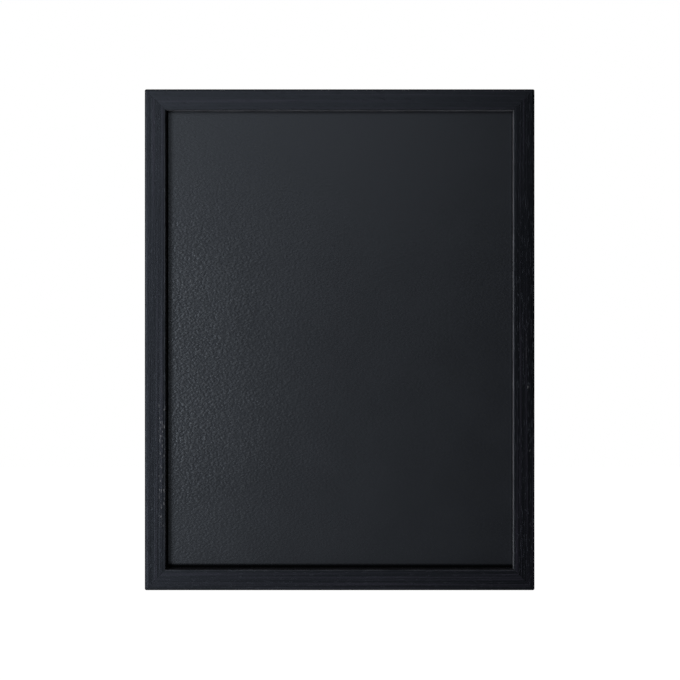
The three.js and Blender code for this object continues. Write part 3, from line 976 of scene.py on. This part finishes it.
def hanger_screw(side, material):
    """Pan-head screw with a cross recess and a threaded shank."""
    node = ("left" if side < 0 else "right") + "_hanger_screw"
    sides = 36
    levels = 120
    rows = []
    for k in range(levels + 1):
        depth = -SCREW_LENGTH + (SCREW_LENGTH - SCREW_NECK) * k / levels
        taper = min(max((depth + SCREW_LENGTH) / SCREW_TIP, 0.02), 1)
        row = []
        for i in range(sides):
            angle = 2 * math.pi * i / sides
            phase = (depth / SCREW_PITCH - i / sides) % 1
            ridge = max(0.0, 1 - abs(phase - 0.5) / THREAD_SHARE)
            radius = taper * (SCREW_ROOT + (SCREW_CREST - SCREW_ROOT) * ridge)
            row.append((radius * math.cos(angle), depth, radius * math.sin(angle)))
        rows.append(row)
    head = [(SCREW_CREST, -SCREW_NECK / 2), (SCREW_CREST, 0)]
    head += [(SCREW_HEAD_RADIUS - SMALL_EASE, 0), (SCREW_HEAD_RADIUS, SMALL_EASE)]
    head.append((SCREW_HEAD_RADIUS, SCREW_HEAD_RIM))
    for i in range(1, 9):
        angle = math.radians(90 * i / 8)
        rise = (SCREW_HEAD_HEIGHT - SCREW_HEAD_RIM) * math.sin(angle)
        head.append((max(SCREW_HEAD_RADIUS * math.cos(angle), 0.05 * MM), SCREW_HEAD_RIM + rise))
    rows += [round_row(radius, y, sides) for radius, y in head]
    made = piece(node + "_pan_head", *rings_of(rows, capped=True), [material])
    cutters = []
    wide = CROSS_SPAN / 2
    thin = CROSS_SLOT / 2
    base = oblong(CROSS_FLOOR[0] * wide, CROSS_FLOOR[1] * thin, SCREW_HEAD_HEIGHT - CROSS_DEPTH)
    lid = oblong(CROSS_FLARE * wide, thin, SCREW_HEAD_HEIGHT + 0.5 * MM)
    for turn in (0, math.pi / 2):
        wing = piece("cutter", *rings_of([base, lid], capped=True), [])
        cutters.append(moved(wing, turn=turn + math.radians(CROSS_TURN * side)))
    cut(made, cutters)
    moved(made, side * KNUCKLE_AXIS.x, STRAP_THICKNESS, KNUCKLE_AXIS.z - SCREW_DROP)
    shade(made.data, 35)
    fitted(made, node)


def oblong(half_x, half_z, y):
    """Four corners in X and Z, at a height."""
    return [(-half_x, y, -half_z), (half_x, y, -half_z), (half_x, y, half_z), (-half_x, y, half_z)]


def bumper(node, material):
    """Moulded bumper with a dished top and a rounded rim."""
    low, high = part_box(node)
    rise = BUMPER_HEIGHT - BUMPER_EASE
    profile = [(BUMPER_RADIUS - SMALL_EASE, 0), (BUMPER_RADIUS, SMALL_EASE), (BUMPER_RADIUS, rise)]
    for i in range(1, 9):
        angle = math.radians(90 * i / 8)
        radius = BUMPER_RADIUS - BUMPER_EASE + BUMPER_EASE * math.cos(angle)
        profile.append((radius, rise + BUMPER_EASE * math.sin(angle)))
    for share in (0.8, 0.6, 0.4, 0.2, 0.03):
        dish = BUMPER_DISH * (1 - share * share)
        profile.append(((BUMPER_RADIUS - BUMPER_EASE) * share, BUMPER_HEIGHT - dish))
    made = piece(node + "_pad", *lathe(profile, 56), [material], 50)
    moved(made, (low.x + high.x) / 2, 0, (low.z + high.z) / 2)
    fitted(made, node)


# The object

# Finish of each length: painted light and shade on its lip, its sheen, whether its inner edge gets
# a painted highlight, the way in from its outer side where the dull coat begins, its grain, and
# its marks, painted glints on the left stile and nicks on the right
LOOKS = {
    "top_rail": {
        "lip": LIP_PAINTED_HALF_LIGHT,
        "shine": 0.36,
        "painted_arris_highlight": False,
        "dull_from": 1.1 * MM,
        "grain": 0.11 * MM,
        "marks": None,
    },
    "bottom_rail": {
        "lip": LIP_PAINTED_SHADE,
        "shine": 0.32,
        "painted_arris_highlight": True,
        "dull_from": 1.1 * MM,
        "grain": 0.11 * MM,
        "marks": None,
    },
    "left_stile": {
        "lip": LIP_PAINTED_SHADE,
        "shine": 0.28,
        "painted_arris_highlight": True,
        "dull_from": 1.1 * MM,
        "grain": 0.14 * MM,
        "marks": painted_glint_flecks,
    },
    "right_stile": {
        "lip": LIP_PAINTED_LIGHT,
        "shine": 0.24,
        "painted_arris_highlight": False,
        "dull_from": 0.5 * MM,
        "grain": 0.14 * MM,
        "marks": nick_marks,
    },
}


def build():
    """All the pieces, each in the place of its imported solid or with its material."""
    tab_steel = spring_steel()
    plate = plated_steel()
    rubber = moulded_rubber()
    stile_tabs = [step * (HALF_HEIGHT - STILE_TAB_INSET) for step in (-1, 0, 1)]
    rail_tabs = [step * (HALF_WIDTH - RAIL_TAB_INSET) for step in (-1, 1)]
    screw_place = KNUCKLE_AXIS.z - SCREW_DROP - CENTRE_Z
    quarter = math.pi / 2
    frame_length("top_rail", "X", HALF_WIDTH, 0, rail_tabs)
    frame_length("bottom_rail", "X", HALF_WIDTH, math.pi, rail_tabs)
    frame_length("left_stile", "Z", HALF_HEIGHT, -quarter, stile_tabs, screw_place)
    frame_length("right_stile", "Z", HALF_HEIGHT, quarter, stile_tabs, -screw_place)
    sides = [
        ("top_rail", 0, HALF_HEIGHT, rail_tabs),
        ("bottom_rail", math.pi, HALF_HEIGHT, rail_tabs),
        ("left_stile", -quarter, HALF_WIDTH, stile_tabs),
        ("right_stile", quarter, HALF_WIDTH, stile_tabs),
    ]
    for name, turn, from_centre, places in sides:
        for index, along_it in enumerate(places):
            reach = from_centre - LAND_WIDTH
            x = along_it * math.cos(turn) + reach * math.sin(turn)
            z = reach * math.cos(turn) - along_it * math.sin(turn) + CENTRE_Z
            retainer_tab(f"{name}_retainer_tab_{index + 1}", x, z, turn, tab_steel)
    for side in (-1, 1):
        hanger_strap(side, plate)
        hanger_ring(side, plate)
        hanger_screw(side, plate)
    bumper("left_bumper", rubber)
    bumper("right_bumper", rubber)
    finish_node("writing_sheet", chalk_coating())
    finish_node("hardboard_core", pressed_fibre())
    for corner in ("top_right", "top_left", "bottom_left", "bottom_right"):
        for index in (1, 2):
            finish_node(f"{corner}_v_nail_{index}", tab_steel)


def finish_node(node, material):
    """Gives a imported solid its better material."""
    solid = frame["nodes"][node]
    for index in range(len(solid.material_slots)):
        solid.material_slots[index].material = material


# Stage, light and camera

CAMERA_DISTANCE = 1.15
CAMERA_RISE = 0.030
VIEW_WIDTH = 0.5927
VIEW_SHIFT_X = 0.0003
VIEW_SHIFT_Z = -0.0002
SENSOR = 36.0
FLOOR_Z = -1.35
BACKGROUND = 1.0
ROOM = 0.05
BEHIND = (0.55, 0.85)
FLOOR_GLOW = 0.72
FLOOR_FADE = (1200, 3200)
FLOOR_TONES = ((0.78, 0.78, 0.78), (0.82, 0.82, 0.82))
LAMP_DISTANCE = 1.7


def seen_directly(tree, paths):
    """1 for a ray straight from the camera or through glass, else 0."""
    straight = paths.outputs["Is Camera Ray"]
    return maths(tree, "MAXIMUM", straight, paths.outputs["Is Transmission Ray"])


def world():
    """White for the camera and for reflections from behind the board, else a dim room."""
    made = bpy.data.worlds.new("studio")
    bpy.context.scene.world = made
    made.use_nodes = True
    tree = made.node_tree
    tree.nodes.clear()
    output = tree.nodes.new("ShaderNodeOutputWorld")
    background = tree.nodes.new("ShaderNodeBackground")
    paths = tree.nodes.new("ShaderNodeLightPath")
    coordinates = tree.nodes.new("ShaderNodeTexCoord")
    split = tree.nodes.new("ShaderNodeSeparateXYZ")
    tree.links.new(coordinates.outputs["Generated"], split.inputs[0])
    behind = span(tree, split.outputs["Y"], *BEHIND, ROOM, BACKGROUND)
    glossy = maths(tree, "MULTIPLY", paths.outputs["Is Glossy Ray"], behind)
    seen = maths(tree, "MAXIMUM", seen_directly(tree, paths), glossy)
    light = maths(tree, "MAXIMUM", seen, ROOM)
    background.inputs["Color"].default_value = (1, 1, 1, 1)
    tree.links.new(light, background.inputs["Strength"])
    tree.links.new(background.outputs[0], output.inputs["Surface"])


def floor():
    """Pale floor about a metre below, which keeps the object's shadow."""
    points = [(-6, -2.4, FLOOR_Z), (6, -2.4, FLOOR_Z), (6, 9, FLOOR_Z), (-6, 9, FLOOR_Z)]
    mesh = bpy.data.meshes.new("floor")
    mesh.from_pydata(points, [], [(0, 1, 2, 3)])
    made = bpy.data.objects.new("floor", mesh)
    bpy.context.scene.collection.objects.link(made)
    material = bpy.data.materials.new("floor")
    material.use_nodes = True
    tree = material.node_tree
    tree.nodes.clear()
    output = tree.nodes.new("ShaderNodeOutputMaterial")
    matte = tree.nodes.new("ShaderNodeBsdfDiffuse")
    glow = tree.nodes.new("ShaderNodeEmission")
    both = tree.nodes.new("ShaderNodeAddShader")
    paths = tree.nodes.new("ShaderNodeLightPath")
    cloud = noise(tree, place(tree), 0.004, 2.0)
    tone = blended(tree, cloud, *FLOOR_TONES)
    tree.links.new(tone, matte.inputs["Color"])
    far = tree.nodes.new("ShaderNodeVectorMath")
    far.operation = "LENGTH"
    tree.links.new(place(tree), far.inputs[0])
    level = span(tree, far.outputs["Value"], *FLOOR_FADE, FLOOR_GLOW, BACKGROUND)
    shown = maths(tree, "MULTIPLY", seen_directly(tree, paths), level)
    tree.links.new(shown, glow.inputs["Strength"])
    tree.links.new(matte.outputs[0], both.inputs[0])
    tree.links.new(glow.outputs[0], both.inputs[1])
    tree.links.new(both.outputs[0], output.inputs["Surface"])
    mesh.materials.append(material)


def lamp(name, spot, target, size, power):
    """A soft rectangular lamp aimed at a point."""
    data = bpy.data.lights.new(name, "AREA")
    data.shape = "RECTANGLE"
    data.size, data.size_y = size
    data.energy = power
    made = bpy.data.objects.new(name, data)
    bpy.context.scene.collection.objects.link(made)
    made.location = spot
    aim = Vector(target) - Vector(spot)
    made.rotation_euler = aim.to_track_quat("-Z", "Y").to_euler()
    made.visible_camera = False


def lights():
    """A tall soft box and a weaker one on the left, three weak ones ahead, two lamps behind."""
    middle = (0, 0, CENTRE_Z)
    lamp("key", ahead(-33, -4), middle, (0.45, 1.3), 16.5)
    lamp("side", ahead(-55, 0), middle, (0.4, 1.2), 3)
    lamp("front", ahead(-9, -2), middle, (1.2, 0.7), 1.2)
    lamp("upper", ahead(-9, 19), middle, (1.1, 0.5), 2.5)
    lamp("lower", ahead(-9, -22), middle, (1.1, 0.5), 0.75)
    lamp("rear_left", (-1.1, 1.4, 0.9), middle, (1.0, 0.8), 18)
    lamp("rear_right", (1.2, 1.5, 0.4), middle, (0.9, 0.9), 12)


def ahead(azimuth, elevation):
    """A lamp's place in front of the board, by its angles from straight ahead."""
    across = math.radians(azimuth)
    up = math.radians(elevation)
    flat = LAMP_DISTANCE * math.cos(up)
    high = CENTRE_Z + LAMP_DISTANCE * math.sin(up)
    return flat * math.sin(across), -flat * math.cos(across), high


def camera():
    """Straight on, a little above the middle, framing a view VIEW_WIDTH wide at the board's front.
    """
    data = bpy.data.cameras.new("camera")
    made = bpy.data.objects.new("camera", data)
    bpy.context.scene.collection.objects.link(made)
    data.sensor_width = SENSOR
    data.lens = SENSOR * CAMERA_DISTANCE / VIEW_WIDTH
    data.shift_y = -CAMERA_RISE / VIEW_WIDTH
    data.clip_start = 0.01
    data.clip_end = 60
    y = FRONT_Y - CAMERA_DISTANCE
    made.location = (VIEW_SHIFT_X, y, CENTRE_Z + VIEW_SHIFT_Z + CAMERA_RISE)
    made.rotation_euler = (math.pi / 2, 0, 0)
    bpy.context.scene.camera = made


build()
world()
floor()
lights()
camera()
bpy.context.scene.view_settings.view_transform = "Standard"
